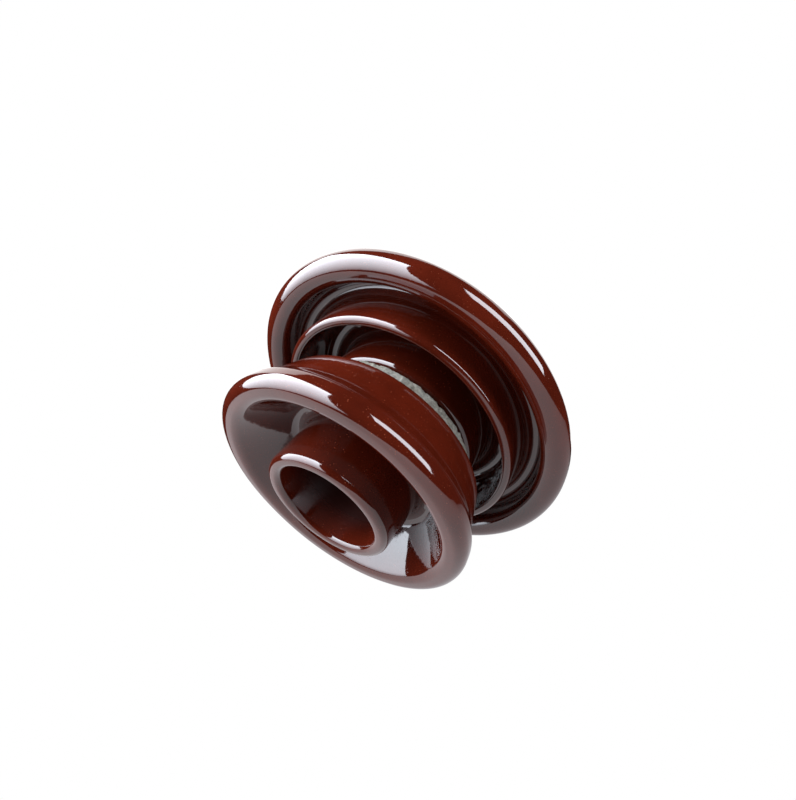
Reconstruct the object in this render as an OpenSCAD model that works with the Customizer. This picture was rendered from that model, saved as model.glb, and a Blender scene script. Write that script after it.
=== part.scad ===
// Two-shell cemented pin insulator, standing on the end of its pin tube, pin axis on +Z.
// Every ring-shaped piece is an outline of [radius, height, corner radius] points turned about Z.

/* [Upper shell] */
// Diameter over the umbrella's rolled lip
umbrella_d = 267; // [262:0.5:272]
// Height of the whole insulator, foot to crown
overall_h = 190.5; // [188:0.5:196]
// Height of the umbrella lip's lowest ring
umbrella_z = 88.3; // [86:0.1:90]
// Radial thickness of the umbrella's rolled lip
umbrella_lip = 19.8; // [17:0.1:20.4]
// Diameter over the inner petticoat's lip
petticoat_d = 195.6; // [194:0.2:198]
// Radial thickness of the inner petticoat's lip
petticoat_lip = 6.6; // [6.2:0.1:8]
// Diameter over the socket tube's lip
socket_d = 135; // [134:0.5:138]
// Height of the petticoat and socket lips
inner_lips_z = 79.5; // [79:0.1:80]
// Height of the channel root between umbrella and petticoat
outer_root_z = 115; // [112:0.5:117]
// Height of the channel root between petticoat and socket tube
inner_root_z = 122; // [118:0.5:124]

/* [Head and wire grooves] */
// Diameter of the neck where the tie wire wraps
neck_d = 101.6; // [98:0.2:104]
// Diameter over the crown above the neck
crown_d = 122; // [118:0.5:126]
// Radius of the tie-wire groove around the neck
side_groove_r = 9; // [7:0.5:10]
// Radius of the conductor groove across the crown
top_groove_r = 16; // [12:0.5:18]
// Depth of the conductor groove below the crown
top_groove_depth = 15; // [12:0.5:17]

/* [Lower shell] */
// Diameter over the bell's rolled lip
bell_d = 191.6; // [190:0.2:194]
// Radial thickness of the bell's rolled lip
bell_lip = 15.2; // [14:0.1:16]
// Height of the bell lip's lowest ring
bell_z = 8.2; // [7:0.1:10]
// Height of the root of the bell's flared hollow
bell_root_z = 43; // [41:0.5:45]
// Radius where the flared wall of the hollow reaches its root
bell_root_r = 59; // [58:0.5:62]
// Height of the outer edge of the shoulder
bell_top_z = 54.5; // [53:0.1:56]
// Height of the seat in the shoulder that the cement lies on
shoulder_z = 62; // [61:0.1:63]
// Outer diameter of the pin tube's rounded end
tube_d = 92.8; // [91:0.1:94]
// Diameter of the pin tube's mouth at its lip
mouth_d = 75; // [73:0.1:77]

/* [Pin hole] */
// Nominal diameter of the pin thread
thread_d = 35; // [34:0.1:36]
// Length of full thread in the insert
thread_len = 50; // [45:0.5:52]
// Height where the thread begins
thread_z = 62; // [60:0.5:63]
// Wall of the threaded insert
insert_wall = 3.7; // [3:0.1:4]

/* [Joints between the pieces] */
// Radial gap between the head of the lower shell and the socket
joint_gap = 5; // [4.5:0.1:5.5]
// Thickness of the fused grit coats
grit = 1; // [0.8:0.1:1.2]
// Thickness of the cork pad over the lower shell's crown
pad_t = 4; // [3:0.2:5]
// Radius of the cement collar that shows between the shells
collar_r = 70.4; // [69:0.1:71]

/* [Hidden] */
$fn = 96;
arc_step = 12;                     // degrees between points on a rounded corner

umbrella_r = umbrella_d / 2;
petticoat_r = petticoat_d / 2;
socket_r = socket_d / 2;
bell_r = bell_d / 2;
neck_r = neck_d / 2;
crown_r = crown_d / 2;

// the tapered head of the lower shell, and the socket that follows it
head_base_r = 55.4;
head_top_z = 146;
head_slope = 0.28;                 // radius lost per unit of height
head_edge_r = 4;                   // rounding of the crown's edge inside the joint
function head_r(z) = head_base_r - head_slope * (z - shoulder_z);
function socket_wall_r(z) = head_r(z) + joint_gap;
socket_top_z = head_top_z + pad_t;
head_grit_z = [82, 136];
socket_grit_z = [86, 140];
pad_r = 24;
collar_top_z = 75;                 // where the visible cement turns in under the socket lip
collar_inset = 6;                  // how far inside the socket lip the cement meets it

// outside of the upper shell above the umbrella
lip_band = 14;                     // upright band above the umbrella's lip
lip_shoulder = 38;                 // height above the lip where the top surface starts to fall away
dome_r = 84;
dome_z = 146;                      // where the umbrella's top rises into the neck
groove_low_z = 154;
groove_high_z = 171;               // lower and upper corners of the tie-wire groove
crown_z = 174;                     // underside of the crown

// outside of the bell
bell_hip_z = 30;                   // where the bell draws in above its lip
bell_hip_inset = 5.7;
shoulder_inset = 11.6;

// the pin hole: a wide tapered mouth, then a straight seat for the insert
mouth_r = mouth_d / 2;
thread_r = thread_d / 2;
insert_r = thread_r + insert_wall;
insert_cap = 4;                    // closed end of the insert
insert_flange = 2;                 // step and thickness of the insert's flange
insert_top_z = thread_z + thread_len + insert_cap;
insert_pad_t = 3;
seat_r = insert_r + 3.8;
seat_z = thread_z - 4;
seat_top_z = insert_top_z + insert_pad_t;
seat_grit_z = [66, 110];

// ---- outlines with rounded corners ----
function unit(v) = v / norm(v);
function corner(a, b, c, r) =
    let (u = unit(a - b), v = unit(c - b), half = acos(u * v) / 2,
        centre = b + unit(u + v) * r / sin(half),
        s = b + u * r / tan(half) - centre, e = b + v * r / tan(half) - centre,
        start = atan2(s[1], s[0]), sweep = atan2(cross(s, e), s * e),
        n = max(2, ceil(abs(sweep) / arc_step)))
    [for (i = [0 : n]) centre + r * [cos(start + sweep * i / n), sin(start + sweep * i / n)]];
function flat(p) = [p[0], p[1]];
function rounded(pts) =
    let (n = len(pts))
    [for (i = [0 : n - 1]) each pts[i][2] > 0
        ? corner(flat(pts[(i + n - 1) % n]), flat(pts[i]), flat(pts[(i + 1) % n]), pts[i][2])
        : [flat(pts[i])]];
module turned(pts) {
    rotate_extrude() polygon(rounded(pts));
}
// a coat one grit thick between heights z[0] and z[1], with inner radii r[0] and r[1] there
module coat(r, z) {
    turned([[r[0], z[0], 0], [r[0] + grit, z[0], 0], [r[1] + grit, z[1], 0], [r[1], z[1], 0]]);
}

// ---- porcelain shells ----
module upper_shell() {
    petticoat_in = petticoat_r - petticoat_lip;
    umbrella_in = umbrella_r - umbrella_lip;
    groove_z = overall_h - top_groove_depth + top_groove_r;
    color([0.32, 0.09, 0.05]) difference() {
        turned([
            [socket_wall_r(inner_lips_z), inner_lips_z, 2.5],   // socket mouth
            [socket_r, inner_lips_z, 5],
            [socket_r + 2, inner_root_z, 9],                    // inner channel
            [petticoat_in - 3, inner_root_z, 8],
            [petticoat_in, inner_lips_z, 3],                    // petticoat lip
            [petticoat_r, inner_lips_z, 3.4],
            [petticoat_r + 2, outer_root_z, 7],                 // outer channel
            [umbrella_in, outer_root_z - 1, 7],
            [umbrella_in, umbrella_z, umbrella_lip / 2 - 0.2],  // umbrella lip
            [umbrella_r, umbrella_z, umbrella_lip / 2 - 0.1],
            [umbrella_r, umbrella_z + lip_band, 8],
            [umbrella_r - lip_band, umbrella_z + lip_shoulder, 30],
            [dome_r, dome_z, 30],                               // top of the umbrella
            [neck_r, groove_low_z, side_groove_r],              // tie-wire groove
            [neck_r, groove_high_z, side_groove_r],
            [crown_r, crown_z, 6],                              // crown
            [crown_r - 1, overall_h, 9],
            [0, overall_h, 0],
            [0, socket_top_z, 0],
            [socket_wall_r(socket_top_z), socket_top_z, 0]]);
        translate([0, 0, groove_z]) rotate([90, 0, 0])
            cylinder(r = top_groove_r, h = umbrella_d, center = true);
    }
}
module lower_shell() {
    color([0.32, 0.09, 0.05]) turned([
        [mouth_r, 0, 3.6],                                      // foot of the pin tube
        [tube_d / 2, 0, 3.9],
        [tube_d / 2 + 2, bell_root_z, 5],                       // flared hollow of the bell
        [bell_root_r, bell_root_z, 7],
        [bell_r - bell_lip, bell_z, bell_lip / 2 - 0.4],        // bell lip
        [bell_r, bell_z, bell_lip / 2 - 0.3],
        [bell_r - 1, bell_z + 13, 6],
        [bell_r - bell_hip_inset, bell_hip_z, 12],
        [bell_r - shoulder_inset, bell_top_z, 3],               // shoulder
        [collar_r + 2, shoulder_z, 4],
        [head_r(shoulder_z), shoulder_z, 0],
        [head_r(head_top_z), head_top_z, head_edge_r],          // crown of the head
        [0, head_top_z, 0],
        [0, seat_top_z, 0],
        [seat_r, seat_top_z, 0],                                // seat of the insert
        [seat_r, seat_z, 0],
        [seat_r + 3, seat_z - 3, 3]]);
}

// ---- what holds the shells together ----
module shell_cement() {
    low = head_grit_z[0];
    high = head_grit_z[1];
    color([0.62, 0.63, 0.6]) turned([
        [head_r(shoulder_z), shoulder_z, 0],
        [collar_r - 1, shoulder_z, 0],
        [collar_r, shoulder_z + 3, 3],                          // collar that shows outside
        [collar_r, collar_top_z, 2],
        [socket_r - collar_inset, inner_lips_z, 0],
        [socket_wall_r(inner_lips_z) + 2.5, inner_lips_z, 0],
        [socket_wall_r(inner_lips_z + 2.5), inner_lips_z + 2.5, 0],
        [socket_wall_r(socket_grit_z[0]), socket_grit_z[0], 0],
        [socket_wall_r(socket_grit_z[0]) - grit, socket_grit_z[0], 0],
        [socket_wall_r(socket_grit_z[1]) - grit, socket_grit_z[1], 0],
        [socket_wall_r(socket_grit_z[1]), socket_grit_z[1], 0],
        [socket_wall_r(socket_top_z), socket_top_z, 0],
        [pad_r, socket_top_z, 0],
        [pad_r, head_top_z, 0],
        [head_r(head_top_z), head_top_z, head_edge_r],
        [head_r(high), high, 0],
        [head_r(high) + grit, high, 0],
        [head_r(low) + grit, low, 0],
        [head_r(low), low, 0]]);
}
module socket_grit_coat() {
    z = socket_grit_z;
    color([0.78, 0.74, 0.66])
        coat([socket_wall_r(z[0]) - grit, socket_wall_r(z[1]) - grit], z);
}
module head_grit_coat() {
    z = head_grit_z;
    color([0.78, 0.74, 0.66]) coat([head_r(z[0]), head_r(z[1])], z);
}
module crown_pad() {
    color([0.55, 0.38, 0.22]) translate([0, 0, head_top_z]) cylinder(r = pad_r, h = pad_t);
}

// ---- threaded insert for the pin ----
module thread_insert() {
    color([0.66, 0.67, 0.69]) difference() {
        union() {
            translate([0, 0, thread_z]) cylinder(r = insert_r, h = thread_len + insert_cap);
            translate([0, 0, thread_z]) cylinder(r = insert_r + insert_flange, h = insert_flange);
        }
        translate([0, 0, thread_z - 1]) cylinder(r = thread_r, h = thread_len + 1);
    }
}
module insert_cement() {
    color([0.62, 0.63, 0.6]) turned([
        [insert_r, thread_z + insert_flange, 0],
        [seat_r, thread_z + insert_flange, 0],
        [seat_r, seat_grit_z[0], 0],
        [seat_r - grit, seat_grit_z[0], 0],
        [seat_r - grit, seat_grit_z[1], 0],
        [seat_r, seat_grit_z[1], 0],
        [seat_r, insert_top_z, 0],
        [insert_r, insert_top_z, 0]]);
}
module pin_hole_grit_coat() {
    color([0.78, 0.74, 0.66]) coat([1, 1] * (seat_r - grit), seat_grit_z);
}
module insert_pad() {
    color([0.55, 0.38, 0.22]) translate([0, 0, insert_top_z]) cylinder(r = seat_r, h = insert_pad_t);
}

upper_shell();
lower_shell();
shell_cement();
socket_grit_coat();
head_grit_coat();
crown_pad();
thread_insert();
insert_cement();
pin_hole_grit_coat();
insert_pad();
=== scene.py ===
import math

import bmesh
import bpy
from mathutils import Matrix, Vector


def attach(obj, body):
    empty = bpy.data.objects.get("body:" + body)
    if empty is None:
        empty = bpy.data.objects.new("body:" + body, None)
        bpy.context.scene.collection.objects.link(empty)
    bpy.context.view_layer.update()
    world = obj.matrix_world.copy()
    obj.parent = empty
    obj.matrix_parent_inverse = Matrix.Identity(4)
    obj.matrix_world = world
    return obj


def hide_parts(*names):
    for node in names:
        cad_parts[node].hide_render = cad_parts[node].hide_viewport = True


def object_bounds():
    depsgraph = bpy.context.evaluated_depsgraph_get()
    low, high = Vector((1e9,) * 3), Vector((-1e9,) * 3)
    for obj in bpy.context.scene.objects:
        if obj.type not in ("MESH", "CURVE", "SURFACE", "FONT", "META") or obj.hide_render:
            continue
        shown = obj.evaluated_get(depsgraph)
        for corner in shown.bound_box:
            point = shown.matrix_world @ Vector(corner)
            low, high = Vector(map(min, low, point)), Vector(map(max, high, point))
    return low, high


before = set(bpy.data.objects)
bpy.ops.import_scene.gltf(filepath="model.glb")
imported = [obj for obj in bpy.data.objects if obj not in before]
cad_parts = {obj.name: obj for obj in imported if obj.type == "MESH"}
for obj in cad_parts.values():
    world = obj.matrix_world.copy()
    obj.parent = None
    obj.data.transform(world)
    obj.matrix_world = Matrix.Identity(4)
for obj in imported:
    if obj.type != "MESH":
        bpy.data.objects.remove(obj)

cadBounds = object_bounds()
mm = 0.001


# ---- helpers for turning round pieces from an outline ----

def deselectAll():
    if bpy.context.mode != "OBJECT":
        bpy.ops.object.mode_set(mode="OBJECT")
    bpy.ops.object.select_all(action="DESELECT")


def adopt(name):
    piece = bpy.context.object
    piece.name = name
    piece.data.name = name
    return piece


def pickVertices(piece, test):
    # selects, in edit mode, only the vertices whose place passes the test
    bpy.ops.mesh.select_mode(type="VERT")
    bpy.ops.mesh.select_all(action="DESELECT")
    sheet = bmesh.from_edit_mesh(piece.data)
    for vertex in sheet.verts:
        vertex.select = test(vertex.co)
    sheet.select_flush_mode()
    bmesh.update_edit_mesh(piece.data)


def near(point):
    spot = Vector((point[0] * mm, 0, point[1] * mm))
    return lambda place: (place - spot).length < 0.02 * mm


def drawOutline(name, points, closed):
    # one vertex, extruded from corner to corner in the X-Z plane
    deselectAll()
    first = points[0]
    bpy.ops.mesh.primitive_plane_add(size=mm, location=(first[0] * mm, 0, first[1] * mm))
    piece = adopt(name)
    bpy.ops.object.transform_apply(location=True, rotation=False, scale=False)
    bpy.ops.object.mode_set(mode="EDIT")
    bpy.ops.mesh.merge(type="CENTER")
    for start, end in zip(points, points[1:]):
        step = ((end[0] - start[0]) * mm, 0, (end[1] - start[1]) * mm)
        bpy.ops.mesh.extrude_region_move(TRANSFORM_OT_translate={"value": step})
    if closed:
        atFirst, atLast = near(points[0]), near(points[-1])
        pickVertices(piece, lambda place: atFirst(place) or atLast(place))
        bpy.ops.mesh.edge_face_add()
    return piece


def roundCorners(piece, points, arcStep):
    # a vertex bevel on each corner that has a radius
    count = len(points)
    for index, corner in enumerate(points):
        if corner[2] == 0:
            continue
        here = Vector(corner[:2])
        back = (Vector(points[index - 1][:2]) - here).normalized()
        ahead = (Vector(points[(index + 1) % count][:2]) - here).normalized()
        inside = back.angle(ahead)
        pickVertices(piece, near(corner))
        bpy.ops.mesh.bevel(
            offset=corner[2] * mm / math.tan(inside / 2), offset_type="OFFSET",
            segments=max(3, math.ceil((math.pi - inside) / math.radians(arcStep))),
            profile=0.5, affect="VERTICES", clamp_overlap=False)


def splitLongEdges(piece, longest, beyond=-1):
    # halves every edge farther out than the given radius until none is longer than the limit
    while True:
        bpy.ops.mesh.select_mode(type="EDGE")
        bpy.ops.mesh.select_all(action="DESELECT")
        sheet = bmesh.from_edit_mesh(piece.data)
        found = [
            edge for edge in sheet.edges
            if edge.calc_length() > longest * mm and min(vertex.co.x for vertex in edge.verts) > beyond * mm]
        if not found:
            break
        for edge in found:
            edge.select = True
        bmesh.update_edit_mesh(piece.data)
        bpy.ops.mesh.subdivide(number_cuts=1)


def spinRound(steps):
    bpy.ops.mesh.select_mode(type="VERT")
    bpy.ops.mesh.select_all(action="SELECT")
    bpy.ops.mesh.spin(steps=steps, angle=2 * math.pi, center=(0, 0, 0), axis=(0, 0, 1))
    bpy.ops.mesh.select_all(action="SELECT")
    bpy.ops.mesh.remove_doubles(threshold=0.01 * mm)
    bpy.ops.mesh.normals_make_consistent(inside=False)


def turnedPiece(name, points, arcStep, longest, steps, closed):
    piece = drawOutline(name, points, closed)
    roundCorners(piece, points, arcStep)
    splitLongEdges(piece, longest)
    spinRound(steps)
    deselectAll()
    return piece


def waver(piece, label, amount, size, group=""):
    # uneven swell of the surface, applied to the mesh
    swell = bpy.data.textures.new(label, "CLOUDS")
    swell.noise_scale = size * mm
    swell.noise_depth = 1
    modifier = piece.modifiers.new(label, "DISPLACE")
    modifier.texture = swell
    modifier.texture_coords = "LOCAL"
    modifier.strength = amount * mm
    modifier.mid_level = 0.5
    modifier.vertex_group = group
    bpy.context.view_layer.objects.active = piece
    bpy.ops.object.modifier_apply(modifier=label)


def smoothShade(piece, angle):
    deselectAll()
    piece.select_set(True)
    bpy.context.view_layer.objects.active = piece
    bpy.ops.object.shade_smooth_by_angle(angle=math.radians(angle))
    deselectAll()


# ---- upper shell: umbrella, petticoat, socket tube and grooved head ----

upperShell = {
    "umbrellaRadius": 133.5, "umbrellaLip": 19.8, "umbrellaHeight": 88.3,
    "petticoatRadius": 97.8, "petticoatLip": 6.6,
    "socketRadius": 67.5, "socketMouth": 55.5, "socketTop": 35.76, "socketDepth": 150,
    "lipHeight": 79.5, "innerRoot": 122, "outerRoot": 115,
    "domeRadius": 84, "domeHeight": 146, "neckRadius": 50.8, "crownRadius": 61,
    "neckLow": 154, "neckHigh": 171, "crownLow": 174, "top": 190.5,
    "shoulderDrop": 14, "shoulderRise": 38, "shoulderRound": 30,
    "grooveRadius": 15.5, "grooveBottom": 175.5, "grooveEdge": 3.4, "grooveReach": 78,
    "grooveFlare": [(66, 1.3), (61, 1.14), (56, 1.04), (50, 1)], "grooveMouth": 1.62,
    "arcStep": 7, "longest": 3.4, "steps": 168,
    "swell": 0.3, "swellSize": 70,
}


def cutConductorGroove(shell):
    v = upperShell
    edge, bottom, reach = v["grooveEdge"], v["grooveBottom"], v["grooveReach"]
    r, top, out, high = v["grooveRadius"] + 0.5, v["top"] + 0.2, 34, 26
    profile = [
        (-out, top + high, 0), (-out, top, 0), (-r, top, edge), (-r, bottom, v["grooveRadius"]),
        (r, bottom, v["grooveRadius"]), (r, top, edge), (out, top, 0), (out, top + high, 0)]
    cutter = drawOutline("groove_cutter", profile, True)
    roundCorners(cutter, profile, 9)
    bpy.ops.mesh.select_all(action="SELECT")
    bpy.ops.mesh.edge_face_add()
    centre = Vector((0, 0, (top + 1) * mm))
    bpy.ops.transform.translate(value=(0, -reach * mm, 0))
    # the tool opens out like a trumpet where it leaves the crown on either side
    half = [(reach, v["grooveMouth"]), *v["grooveFlare"]]
    flare = [(-place, size) for place, size in half] + half[::-1]
    bpy.ops.transform.resize(value=(flare[0][1], 1, flare[0][1]), center_override=centre)
    for (start, sizeBefore), (end, sizeAfter) in zip(flare, flare[1:]):
        bpy.ops.mesh.extrude_region_move(TRANSFORM_OT_translate={"value": (0, (end - start) * mm, 0)})
        change = sizeAfter / sizeBefore
        bpy.ops.transform.resize(value=(change, 1, change), center_override=centre)
    bpy.ops.mesh.select_all(action="SELECT")
    bpy.ops.mesh.normals_make_consistent(inside=False)
    deselectAll()
    cut = shell.modifiers.new("groove", "BOOLEAN")
    cut.operation = "DIFFERENCE"
    cut.solver = "EXACT"
    cut.object = cutter
    bpy.context.view_layer.objects.active = shell
    bpy.ops.object.modifier_apply(modifier="groove")
    bpy.data.objects.remove(cutter)


def buildUpperShell():
    v = upperShell
    lip = v["umbrellaLip"] / 2
    umbrellaIn = v["umbrellaRadius"] - v["umbrellaLip"]
    petticoatIn = v["petticoatRadius"] - v["petticoatLip"]
    outline = [
        (0, v["socketDepth"], 0), (v["socketTop"], v["socketDepth"], 0),
        (v["socketMouth"], v["lipHeight"], 2.5), (v["socketRadius"], v["lipHeight"], 5),
        (v["socketRadius"] + 2, v["innerRoot"], 9), (petticoatIn - 3, v["innerRoot"], 8),
        (petticoatIn, v["lipHeight"], 3), (v["petticoatRadius"], v["lipHeight"], 3.4),
        (v["petticoatRadius"] + 2, v["outerRoot"], 7), (umbrellaIn, v["outerRoot"] - 1, 7),
        (umbrellaIn, v["umbrellaHeight"], lip - 0.2), (v["umbrellaRadius"], v["umbrellaHeight"], lip - 0.1),
        (v["umbrellaRadius"], v["umbrellaHeight"] + v["shoulderDrop"], 8),
        (v["umbrellaRadius"] - v["shoulderDrop"], v["umbrellaHeight"] + v["shoulderRise"],
         v["shoulderRound"]),
        (v["domeRadius"], v["domeHeight"], v["shoulderRound"]),
        (v["neckRadius"], v["neckLow"], 9), (v["neckRadius"], v["neckHigh"], 9),
        (v["crownRadius"], v["crownLow"], 6), (v["crownRadius"] - 1, v["top"], 9), (0, v["top"], 0)]
    shell = turnedPiece("upper_shell_glazed", outline, v["arcStep"], v["longest"], v["steps"], False)
    cutConductorGroove(shell)
    waver(shell, "upperSwell", v["swell"], v["swellSize"])
    smoothShade(shell, 38)
    return shell


# ---- lower shell: pin tube, bell and the head inside the joint ----

lowerShell = {
    "mouthRadius": 37.5, "tubeRadius": 46.4,
    "bellRadius": 95.8, "bellLip": 15.2, "bellHeight": 8.2, "bellRoot": 43, "rootRadius": 59,
    "lipTop": 21.2, "hipHeight": 30, "hipInset": 5.7, "bellTop": 54.5, "topInset": 11.6,
    "shoulder": 62, "shoulderRadius": 72.4, "headBase": 55.4, "headTop": 31.88, "headHeight": 146,
    "seatRadius": 25, "seatLow": 58, "seatHigh": 119,
    "arcStep": 7, "longest": 3.2, "steps": 160,
    "swell": 0.35, "swellSize": 55,
}


def buildLowerShell():
    v = lowerShell
    bellIn = v["bellRadius"] - v["bellLip"]
    outline = [
        (0, v["seatHigh"], 0), (v["seatRadius"], v["seatHigh"], 0),
        (v["seatRadius"], v["seatLow"], 0), (v["seatRadius"] + 3, v["seatLow"] - 3, 3),
        (v["mouthRadius"], 0, 3.9), (v["tubeRadius"], 0, 4.3),
        (v["tubeRadius"] + 2, v["bellRoot"], 5), (v["rootRadius"], v["bellRoot"], 7),
        (bellIn, v["bellHeight"], 7.3), (v["bellRadius"], v["bellHeight"], 7.4),
        (v["bellRadius"] - 1, v["lipTop"], 6),
        (v["bellRadius"] - v["hipInset"], v["hipHeight"], 12),
        (v["bellRadius"] - v["topInset"], v["bellTop"], 3),
        (v["shoulderRadius"], v["shoulder"], 4), (v["headBase"], v["shoulder"], 0),
        (v["headTop"], v["headHeight"], 4), (0, v["headHeight"], 0)]
    shell = turnedPiece("lower_shell_glazed", outline, v["arcStep"], v["longest"], v["steps"], False)
    waver(shell, "lowerSwell", v["swell"], v["swellSize"])
    smoothShade(shell, 38)
    return shell


# ---- cement that joins the shells, rough where it shows under the socket ----

cementJoint = {
    "collarRadius": 70.4, "collarLow": 62, "collarHigh": 72.6, "bandRadius": 61,
    "lipHeight": 79.5, "lipOuter": 61.5, "lipInner": 58,
    "taper": 0.28, "socketTop": 35.76, "socketDepth": 150, "headTop": 31.88, "headHeight": 146,
    "coat": 1, "socketCoatLow": 86, "socketCoatHigh": 140, "headCoatLow": 82, "headCoatHigh": 136,
    "padRadius": 24,
    "steps": 480, "longest": 1.1, "coarse": 2.2, "coarseSize": 6, "fine": 1.5, "fineSize": 1.4,
}


def buildCement():
    v = cementJoint
    low, high = v["socketCoatLow"], v["socketCoatHigh"]
    headLow, headHigh = v["headCoatLow"], v["headCoatHigh"]

    def socketWall(height):
        return v["socketTop"] + v["taper"] * (v["socketDepth"] - height)

    def headWall(height):
        return v["headTop"] + v["taper"] * (v["headHeight"] - height)

    outline = [
        (headWall(v["collarLow"]), v["collarLow"], 0), (v["collarRadius"] - 1, v["collarLow"], 0),
        (v["collarRadius"], v["collarLow"] + 3, 3), (v["collarRadius"], v["collarHigh"], 2),
        (v["lipOuter"], v["lipHeight"], 0), (v["lipInner"], v["lipHeight"], 0),
        (socketWall(headLow), headLow, 0),
        (socketWall(low), low, 0), (socketWall(low) - v["coat"], low, 0),
        (socketWall(high) - v["coat"], high, 0), (socketWall(high), high, 0),
        (v["socketTop"], v["socketDepth"], 0), (v["padRadius"], v["socketDepth"], 0),
        (v["padRadius"], v["headHeight"], 0), (v["headTop"], v["headHeight"], 4),
        (headWall(headHigh), headHigh, 0), (headWall(headHigh) + v["coat"], headHigh, 0),
        (headWall(headLow) + v["coat"], headLow, 0), (headWall(headLow), headLow, 0)]
    cement = drawOutline("cement_joint", outline, True)
    roundCorners(cement, outline, 12)
    # only the band that shows is cut fine
    splitLongEdges(cement, v["longest"], v["bandRadius"] - 1)
    spinRound(v["steps"])
    deselectAll()
    shows = cement.vertex_groups.new(name="shows")
    for vertex in cement.data.vertices:
        radius = math.hypot(vertex.co.x, vertex.co.y) / mm
        if radius > v["bandRadius"] and vertex.co.z > (v["collarLow"] + 0.4) * mm:
            shows.add([vertex.index], 1.0, "REPLACE")
    waver(cement, "cementLumps", v["coarse"], v["coarseSize"], "shows")
    waver(cement, "cementGrains", v["fine"], v["fineSize"], "shows")
    smoothShade(cement, 60)
    return cement


# ---- threaded insert for the pin ----

threadInsert = {
    "radius": 21.2, "flangeRadius": 23.2, "flange": 2, "low": 62, "length": 50, "cap": 4,
    "rootRadius": 17.9, "crestRadius": 16.2, "pitch": 6.35, "steps": 96,
}


def buildInsert():
    v = threadInsert
    high = v["low"] + v["length"]
    outline = [
        (0, high, 0), (v["rootRadius"], high, 0), (v["rootRadius"], v["low"], 0.8),
        (v["flangeRadius"], v["low"], 0.6), (v["flangeRadius"], v["low"] + v["flange"], 0.6),
        (v["radius"], v["low"] + v["flange"], 0), (v["radius"], high + v["cap"], 1),
        (0, high + v["cap"], 0)]
    insert = turnedPiece("thread_insert_cast", outline, 15, 12, v["steps"], False)
    # the thread: one ridge, its section swept up the bore
    turns = int((v["length"] - 4) / v["pitch"])
    half = v["pitch"] * 0.36
    base = v["rootRadius"] + 0.6
    start = v["low"] + 2 + half
    section = [
        (base, start - half, 0), (v["crestRadius"], start - half * 0.28, 0.4),
        (v["crestRadius"], start + half * 0.28, 0.4), (base, start + half, 0)]
    ridge = drawOutline("thread_ridge", section, True)
    roundCorners(ridge, section, 30)
    bpy.ops.mesh.select_all(action="SELECT")
    bpy.ops.mesh.edge_face_add()
    deselectAll()
    wind = ridge.modifiers.new("wind", "SCREW")
    wind.axis = "Z"
    wind.angle = 2 * math.pi
    wind.screw_offset = v["pitch"] * mm
    wind.iterations = turns
    wind.steps = 72
    wind.render_steps = 72
    wind.use_merge_vertices = True
    bpy.context.view_layer.objects.active = ridge
    bpy.ops.object.modifier_apply(modifier="wind")
    ridge.select_set(True)
    bpy.ops.object.mode_set(mode="EDIT")
    bpy.ops.mesh.select_all(action="SELECT")
    bpy.ops.mesh.remove_doubles(threshold=0.01 * mm)
    bpy.ops.mesh.normals_make_consistent(inside=False)
    deselectAll()
    insert.select_set(True)
    ridge.select_set(True)
    bpy.context.view_layer.objects.active = insert
    bpy.ops.object.join()
    smoothShade(insert, 35)
    return insert


# ---- materials ----

def newMaterial(name):
    material = bpy.data.materials.new(name)
    material.use_nodes = True
    tree = material.node_tree
    return material, tree, tree.nodes["Principled BSDF"]


def addNode(tree, kind, **values):
    node = tree.nodes.new(kind)
    for key, value in values.items():
        if key in node.inputs:
            node.inputs[key].default_value = value
        else:
            setattr(node, key, value)
    return node


def objectPlaces(tree, scale=(1, 1, 1)):
    place = addNode(tree, "ShaderNodeTexCoord")
    mapping = addNode(tree, "ShaderNodeMapping", Scale=scale)
    tree.links.new(place.outputs["Object"], mapping.inputs["Vector"])
    return mapping.outputs["Vector"]


def noise(tree, vector, scale, detail=3, roughness=0.5):
    node = addNode(tree, "ShaderNodeTexNoise", Scale=scale, Detail=detail, Roughness=roughness)
    tree.links.new(vector, node.inputs["Vector"])
    return node.outputs["Fac"]


def ramp(tree, source, stops):
    node = tree.nodes.new("ShaderNodeValToRGB")
    elements = node.color_ramp.elements
    while len(elements) < len(stops):
        elements.new(0.5)
    for element, (place, colour) in zip(elements, stops):
        element.position = place
        element.color = (*colour, 1)
    tree.links.new(source, node.inputs["Fac"])
    return node.outputs["Color"]


def grey(value):
    return (value, value, value)


def blendColours(tree, factor, first, second, mode="MIX"):
    node = addNode(tree, "ShaderNodeMix", data_type="RGBA", blend_type=mode)
    for socket, source in ((node.inputs[0], factor), (node.inputs[6], first), (node.inputs[7], second)):
        if isinstance(source, bpy.types.NodeSocket):
            tree.links.new(source, socket)
        else:
            socket.default_value = source
    return node.outputs[2]


def bump(tree, height, strength, distance, before=None):
    node = addNode(tree, "ShaderNodeBump", Strength=strength, Distance=distance)
    tree.links.new(height, node.inputs["Height"])
    if before is not None:
        tree.links.new(before, node.inputs["Normal"])
    return node.outputs["Normal"]


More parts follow.
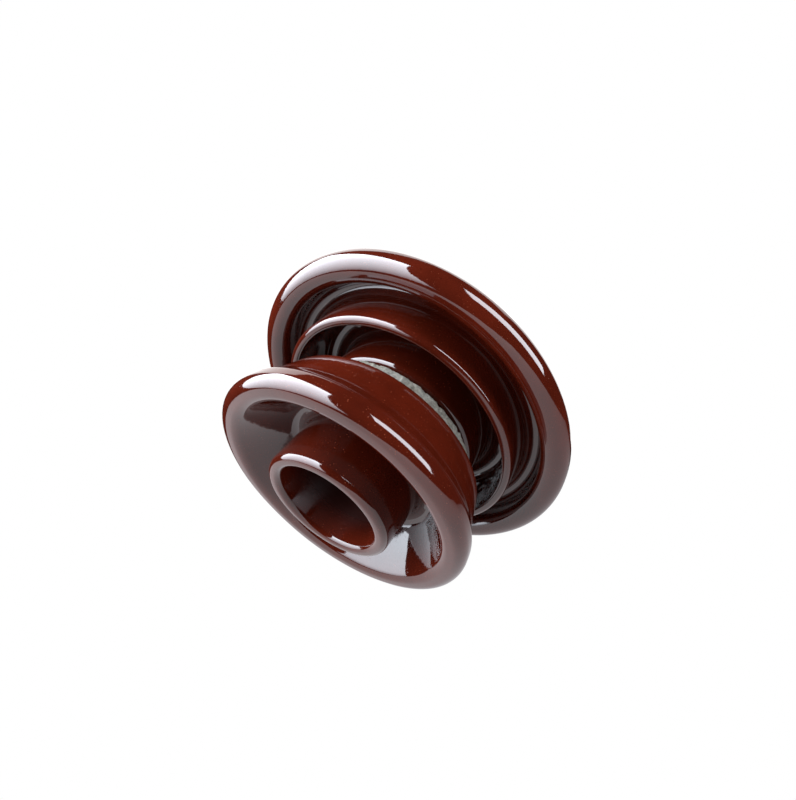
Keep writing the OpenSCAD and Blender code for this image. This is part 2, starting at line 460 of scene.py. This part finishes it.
def turningPlaces(tree):
    # distance from the pin axis, and height, for marks that run round the piece
    place = addNode(tree, "ShaderNodeTexCoord")
    parts = addNode(tree, "ShaderNodeSeparateXYZ")
    tree.links.new(place.outputs["Object"], parts.inputs[0])
    squares = []
    for axis in ("X", "Y"):
        square = addNode(tree, "ShaderNodeMath", operation="MULTIPLY")
        tree.links.new(parts.outputs[axis], square.inputs[0])
        tree.links.new(parts.outputs[axis], square.inputs[1])
        squares.append(square)
    total = addNode(tree, "ShaderNodeMath", operation="ADD")
    tree.links.new(squares[0].outputs[0], total.inputs[0])
    tree.links.new(squares[1].outputs[0], total.inputs[1])
    root = addNode(tree, "ShaderNodeMath", operation="SQRT")
    tree.links.new(total.outputs[0], root.inputs[0])
    joined = addNode(tree, "ShaderNodeCombineXYZ")
    tree.links.new(root.outputs[0], joined.inputs["X"])
    tree.links.new(parts.outputs["Z"], joined.inputs["Z"])
    return joined.outputs[0]


# colours are linear red, green and blue; grain sizes are noise scales per metre
glaze = {
    "deep": (0.038, 0.0042, 0.0016), "warm": (0.061, 0.0066, 0.0024),
    "speck": (0.17, 0.045, 0.022), "fleck": (0.014, 0.002, 0.001),
    "clouds": 26, "specks": 620, "speckPatches": 240, "flecks": 520, "turning": 420,
    "glossy": 0.045, "lessGlossy": 0.085, "ior": 1.58, "coat": 0.2,
    # the pin hole's wall gets painted shade: its base colour is multiplied by the hole shade colour
    "holeInside": 0.0335, "holeLip": 0.0365, "holePaintedShade": (0.34, 0.28, 0.28), "holeDull": 0.3,
}


def insidePinHole(tree):
    # 1 on the wall of the pin hole, 0 from its lip outwards; it places the painted shade and the duller
    # glaze there
    parts = addNode(tree, "ShaderNodeSeparateXYZ")
    tree.links.new(turningPlaces(tree), parts.inputs[0])
    fade = addNode(tree, "ShaderNodeMapRange")
    fade.inputs["From Min"].default_value = glaze["holeLip"]
    fade.inputs["From Max"].default_value = glaze["holeInside"]
    tree.links.new(parts.outputs["X"], fade.inputs["Value"])
    return fade.outputs["Result"]


def makeGlaze(name, speckle, pinHole):
    material, tree, shader = newMaterial(name)
    places = objectPlaces(tree)
    cloud = noise(tree, places, glaze["clouds"], 4, 0.6)
    base = ramp(tree, cloud, [(0.32, glaze["deep"]), (0.68, glaze["warm"])])
    # fine light specks where grains of the body show through the glaze
    grains = addNode(tree, "ShaderNodeTexVoronoi", Scale=glaze["specks"])
    tree.links.new(places, grains.inputs["Vector"])
    dots = ramp(tree, grains.outputs["Distance"], [(0.1, grey(1)), (0.2, grey(0))])
    patches = noise(tree, places, glaze["speckPatches"], 2)
    patches = ramp(tree, patches, [(0.5, grey(0)), (0.62, grey(speckle))])
    speckMask = blendColours(tree, 1.0, dots, patches, "MULTIPLY")
    base = blendColours(tree, speckMask, base, (*glaze["speck"], 1))
    flecks = ramp(tree, noise(tree, places, glaze["flecks"], 1), [(0.7, grey(0)), (0.76, grey(0.5))])
    base = blendColours(tree, flecks, base, (*glaze["fleck"], 1))
    shine = noise(tree, places, 60, 3)
    shine = ramp(tree, shine, [(0.3, grey(glaze["glossy"])), (0.75, grey(glaze["lessGlossy"]))])
    if pinHole:
        # painted shade: the pin hole's wall gets a darker base colour, and its glaze is duller
        inHole = insidePinHole(tree)
        paintedShade = ramp(tree, inHole, [(0, grey(1)), (1, glaze["holePaintedShade"])])
        base = blendColours(tree, 1.0, base, paintedShade, "MULTIPLY")
        shine = blendColours(tree, inHole, shine, (*grey(glaze["holeDull"]), 1))
    tree.links.new(base, shader.inputs["Base Color"])
    tree.links.new(shine, shader.inputs["Roughness"])
    shader.inputs["IOR"].default_value = glaze["ior"]
    shader.inputs["Coat Weight"].default_value = glaze["coat"]
    shader.inputs["Coat Roughness"].default_value = 0.02
    shader.inputs["Coat IOR"].default_value = 1.5
    lines = noise(tree, turningPlaces(tree), glaze["turning"], 2, 0.4)
    normal = bump(tree, lines, 0.05, 0.0004)
    normal = bump(tree, noise(tree, places, 150, 2, 0.45), 0.1, 0.0006, normal)
    normal = bump(tree, speckMask, 0.12, 0.0002, normal)
    tree.links.new(normal, shader.inputs["Normal"])
    return material


sandedCement = {
    "dark": (0.05, 0.046, 0.038), "middle": (0.17, 0.162, 0.138), "pale": (0.33, 0.315, 0.27),
    "stain": (0.62, 0.58, 0.5), "mottle": 620, "sand": 1100, "grains": 900, "roughness": 0.93,
}


def makeCement():
    v = sandedCement
    material, tree, shader = newMaterial("sanded_cement")
    places = objectPlaces(tree)
    sand = addNode(tree, "ShaderNodeTexVoronoi", Scale=v["sand"])
    tree.links.new(places, sand.inputs["Vector"])
    body = noise(tree, places, v["mottle"], 5, 0.75)
    body = ramp(tree, body, [(0.3, v["dark"]), (0.5, v["middle"]), (0.72, v["pale"])])
    stain = ramp(tree, noise(tree, places, 60, 3), [(0.4, grey(1)), (0.75, v["stain"])])
    body = blendColours(tree, 1.0, body, stain, "MULTIPLY")
    pits = ramp(tree, sand.outputs["Distance"], [(0.02, grey(0.25)), (0.3, grey(1))])
    body = blendColours(tree, 0.6, body, pits, "MULTIPLY")
    tree.links.new(body, shader.inputs["Base Color"])
    shader.inputs["Roughness"].default_value = v["roughness"]
    normal = bump(tree, noise(tree, places, v["grains"], 4, 0.7), 0.8, 0.0005)
    normal = bump(tree, sand.outputs["Distance"], 0.6, 0.0003, normal)
    tree.links.new(normal, shader.inputs["Normal"])
    return material


fusedGrit = {
    "pale": (0.74, 0.7, 0.62), "buff": (0.6, 0.53, 0.43), "seam": (0.24, 0.12, 0.07),
    "tint": (0.8, 0.66, 0.56), "grains": 520, "roughness": 0.72,
}


def makeGrit():
    v = fusedGrit
    material, tree, shader = newMaterial("fused_grit")
    places = objectPlaces(tree)
    grains = addNode(tree, "ShaderNodeTexVoronoi", Scale=v["grains"])
    tree.links.new(places, grains.inputs["Vector"])
    body = ramp(tree, grains.outputs["Distance"], [(0, v["pale"]), (0.45, v["buff"]), (0.8, v["seam"])])
    tint = ramp(tree, noise(tree, places, 90, 3), [(0.35, grey(1)), (0.7, v["tint"])])
    tree.links.new(blendColours(tree, 1.0, body, tint, "MULTIPLY"), shader.inputs["Base Color"])
    shader.inputs["Roughness"].default_value = v["roughness"]
    normal = bump(tree, grains.outputs["Distance"], 0.9, 0.0006)
    tree.links.new(normal, shader.inputs["Normal"])
    return material


cork = {
    "dark": (0.16, 0.075, 0.035), "middle": (0.36, 0.2, 0.1), "pale": (0.5, 0.31, 0.17),
    "granules": 330, "roughness": 0.88,
}


def makeCork():
    v = cork
    material, tree, shader = newMaterial("cork_pad")
    places = objectPlaces(tree)
    granules = addNode(tree, "ShaderNodeTexVoronoi", Scale=v["granules"])
    tree.links.new(places, granules.inputs["Vector"])
    body = ramp(tree, granules.outputs["Color"], [(0.2, v["dark"]), (0.55, v["middle"]), (0.9, v["pale"])])
    seams = ramp(tree, granules.outputs["Distance"], [(0.35, grey(1)), (0.62, grey(0.35))])
    tree.links.new(blendColours(tree, 1.0, body, seams, "MULTIPLY"), shader.inputs["Base Color"])
    shader.inputs["Roughness"].default_value = v["roughness"]
    tree.links.new(bump(tree, granules.outputs["Distance"], 0.5, 0.0005), shader.inputs["Normal"])
    return material


castAlloy = {
    "dark": (0.12, 0.125, 0.135), "pale": (0.26, 0.265, 0.28), "smooth": 0.34, "rough": 0.6,
}


def makeCastAlloy():
    v = castAlloy
    material, tree, shader = newMaterial("cast_alloy")
    places = objectPlaces(tree)
    body = ramp(tree, noise(tree, places, 120, 4), [(0.3, v["dark"]), (0.7, v["pale"])])
    tree.links.new(body, shader.inputs["Base Color"])
    shader.inputs["Metallic"].default_value = 1.0
    rough = noise(tree, places, 300, 3)
    rough = ramp(tree, rough, [(0.3, grey(v["smooth"])), (0.75, grey(v["rough"]))])
    tree.links.new(rough, shader.inputs["Roughness"])
    normal = bump(tree, noise(tree, turningPlaces(tree), 900, 2), 0.2, 0.0002)
    normal = bump(tree, noise(tree, places, 800, 3), 0.25, 0.0002, normal)
    tree.links.new(normal, shader.inputs["Normal"])
    return material


def dress(piece, material):
    piece.data.materials.clear()
    piece.data.materials.append(material)


print("turning the porcelain shells")
upper = buildUpperShell()
lower = buildLowerShell()
print("laying the cement joint")
cement = buildCement()
print("casting the threaded insert")
insert = buildInsert()

print("mixing the finishes")
glazeUpper = makeGlaze("brown_glaze_upper", 0.55, False)
glazeLower = makeGlaze("brown_glaze_lower", 0.9, True)
cementLook = makeCement()
gritLook = makeGrit()
corkLook = makeCork()
alloyLook = makeCastAlloy()

newPieces = [
    (upper, "upper_shell", "brown_glaze", glazeUpper),
    (lower, "lower_shell", "brown_glaze", glazeLower),
    (cement, "shell_cement", "cement", cementLook),
    (insert, "thread_insert", "cast_alloy", alloyLook),
]
for piece, node, slot, look in newPieces:
    dress(piece, look)
    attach(piece, "root")
    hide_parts(node)

keptNodes = {
    "socket_grit_coat": gritLook, "head_grit_coat": gritLook, "pin_hole_grit_coat": gritLook,
    "crown_pad": corkLook, "insert_pad": corkLook, "insert_cement": cementLook,
}
for node, look in keptNodes.items():
    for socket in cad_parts[node].material_slots:
        socket.material = look


# ---- studio ----

studio = {
    "cameraPlace": (0, -0.2532, -0.0989), "heading": 4.92, "rise": 42.3, "roll": 37.2,
    "lens": 17.65, "shiftX": -0.0538, "shiftY": 0.0156,
    "floorSize": 6, "floorColour": (0.5, 0.5, 0.5), "floorGlow": (0.98, 0.98, 1), "glow": 0.85,
    "room": 0.012,
}


def addCamera():
    v = studio
    data = bpy.data.cameras.new("studio_camera")
    data.lens = v["lens"]
    data.sensor_width = 36
    data.shift_x = v["shiftX"]
    data.shift_y = v["shiftY"]
    data.clip_start = 0.01
    camera = bpy.data.objects.new("studio_camera", data)
    bpy.context.scene.collection.objects.link(camera)
    camera.matrix_world = (
        Matrix.Translation(v["cameraPlace"])
        @ Matrix.Rotation(math.radians(-v["heading"]), 4, "Z")
        @ Matrix.Rotation(math.radians(90 + v["rise"]), 4, "X")
        @ Matrix.Rotation(math.radians(v["roll"]), 4, "Z"))
    bpy.context.scene.camera = camera
    return camera


# soft boxes as the camera sees them: degrees to the right of straight ahead and above level,
# distance and size in metres, power in watts, and how bright the low and high edges are
softBoxes = {
    "left_box": {
        "bearing": -113, "rise": 20, "roll": 0, "far": 0.95, "size": (1.2, 1.55),
        "power": 66, "tint": (0.84, 0.91, 1.0), "low": 0.2, "high": 1.7},
    "strip_box": {
        "bearing": 128, "rise": 28, "roll": -45, "far": 0.8, "size": (0.8, 0.36),
        "power": 10, "tint": (0.88, 0.92, 1.0), "low": 1, "high": 1},
    "back_wall": {
        "bearing": 6, "rise": 32, "roll": 0, "far": 1.0, "size": (2.3, 1.7),
        "power": 22, "tint": (1, 1, 1), "low": 1, "high": 1},
    "table_bounce": {
        "bearing": 40, "rise": -82, "roll": 0, "far": 0.28, "size": (1.5, 1.5),
        "power": 6.6, "tint": (0.97, 0.96, 1.0), "low": 1.7, "high": 0.3},
}


def fadeAcross(data, low, high):
    # the face of the box is dimmer along one edge than along the other
    data.use_nodes = True
    tree = data.node_tree
    face = addNode(tree, "ShaderNodeNewGeometry")
    parts = addNode(tree, "ShaderNodeSeparateXYZ")
    fade = addNode(tree, "ShaderNodeMapRange")
    fade.inputs["To Min"].default_value = low
    fade.inputs["To Max"].default_value = high
    tree.links.new(face.outputs["Parametric"], parts.inputs[0])
    tree.links.new(parts.outputs["Y"], fade.inputs["Value"])
    tree.links.new(fade.outputs["Result"], tree.nodes["Emission"].inputs["Strength"])


def addSoftBoxes(camera):
    middle = Vector((0, 0, 0.5 * (cadBounds[0][2] + cadBounds[1][2])))
    turn = camera.matrix_world.to_3x3()
    for name, box in softBoxes.items():
        bearing, rise = math.radians(box["bearing"]), math.radians(box["rise"])
        level = math.cos(rise)
        away = Vector((math.sin(bearing) * level, math.sin(rise), -math.cos(bearing) * level))
        side = Vector((0, 1, 0)).cross(away).normalized()
        facing = Matrix((side, away.cross(side), away)).transposed()
        data = bpy.data.lights.new(name, "AREA")
        data.shape = "RECTANGLE"
        data.size, data.size_y = box["size"]
        data.energy = box["power"]
        data.color = box["tint"]
        light = bpy.data.objects.new(name, data)
        bpy.context.scene.collection.objects.link(light)
        tilt = Matrix.Rotation(math.radians(box["roll"]), 3, "Z")
        aim = (turn @ facing @ tilt).to_4x4()
        light.matrix_world = Matrix.Translation(middle + turn @ away * box["far"]) @ aim
        light.visible_camera = False
        fadeAcross(data, box["low"], box["high"])


def addFloor():
    # a pale floor that only shows from above, so that the view from below the foot stays open
    deselectAll()
    bpy.ops.mesh.primitive_plane_add(size=studio["floorSize"], location=(0, 0, cadBounds[0][2]))
    floor = adopt("studio_floor")
    material, tree, shader = newMaterial("pale_floor")
    shader.inputs["Base Color"].default_value = (*studio["floorColour"], 1)
    shader.inputs["Roughness"].default_value = 0.8
    shader.inputs["Emission Color"].default_value = (*studio["floorGlow"], 1)
    shader.inputs["Emission Strength"].default_value = studio["glow"]
    clear = addNode(tree, "ShaderNodeBsdfTransparent")
    side = addNode(tree, "ShaderNodeNewGeometry")
    pick = addNode(tree, "ShaderNodeMixShader")
    tree.links.new(side.outputs["Backfacing"], pick.inputs[0])
    tree.links.new(shader.outputs[0], pick.inputs[1])
    tree.links.new(clear.outputs[0], pick.inputs[2])
    tree.links.new(pick.outputs[0], tree.nodes["Material Output"].inputs["Surface"])
    dress(floor, material)
    floor.visible_shadow = False
    floor.visible_glossy = False
    floor.visible_diffuse = False


def addWorld():
    world = bpy.data.worlds.new("studio_world")
    world.use_nodes = True
    bpy.context.scene.world = world
    tree = world.node_tree
    tree.nodes.clear()
    bright = addNode(tree, "ShaderNodeBackground", Color=(1, 1, 1, 1), Strength=1.0)
    dim = addNode(tree, "ShaderNodeBackground", Color=(1, 1, 1, 1), Strength=studio["room"])
    seen = addNode(tree, "ShaderNodeLightPath")
    pick = addNode(tree, "ShaderNodeMixShader")
    output = addNode(tree, "ShaderNodeOutputWorld")
    tree.links.new(seen.outputs["Is Camera Ray"], pick.inputs[0])
    tree.links.new(dim.outputs[0], pick.inputs[1])
    tree.links.new(bright.outputs[0], pick.inputs[2])
    tree.links.new(pick.outputs[0], output.inputs["Surface"])
    bpy.context.scene.view_settings.view_transform = "Standard"


print("setting up the studio")
camera = addCamera()
addSoftBoxes(camera)
addFloor()
addWorld()
for piece in (upper, lower, cement, insert):
    print(piece.name, "faces", len(piece.data.polygons))
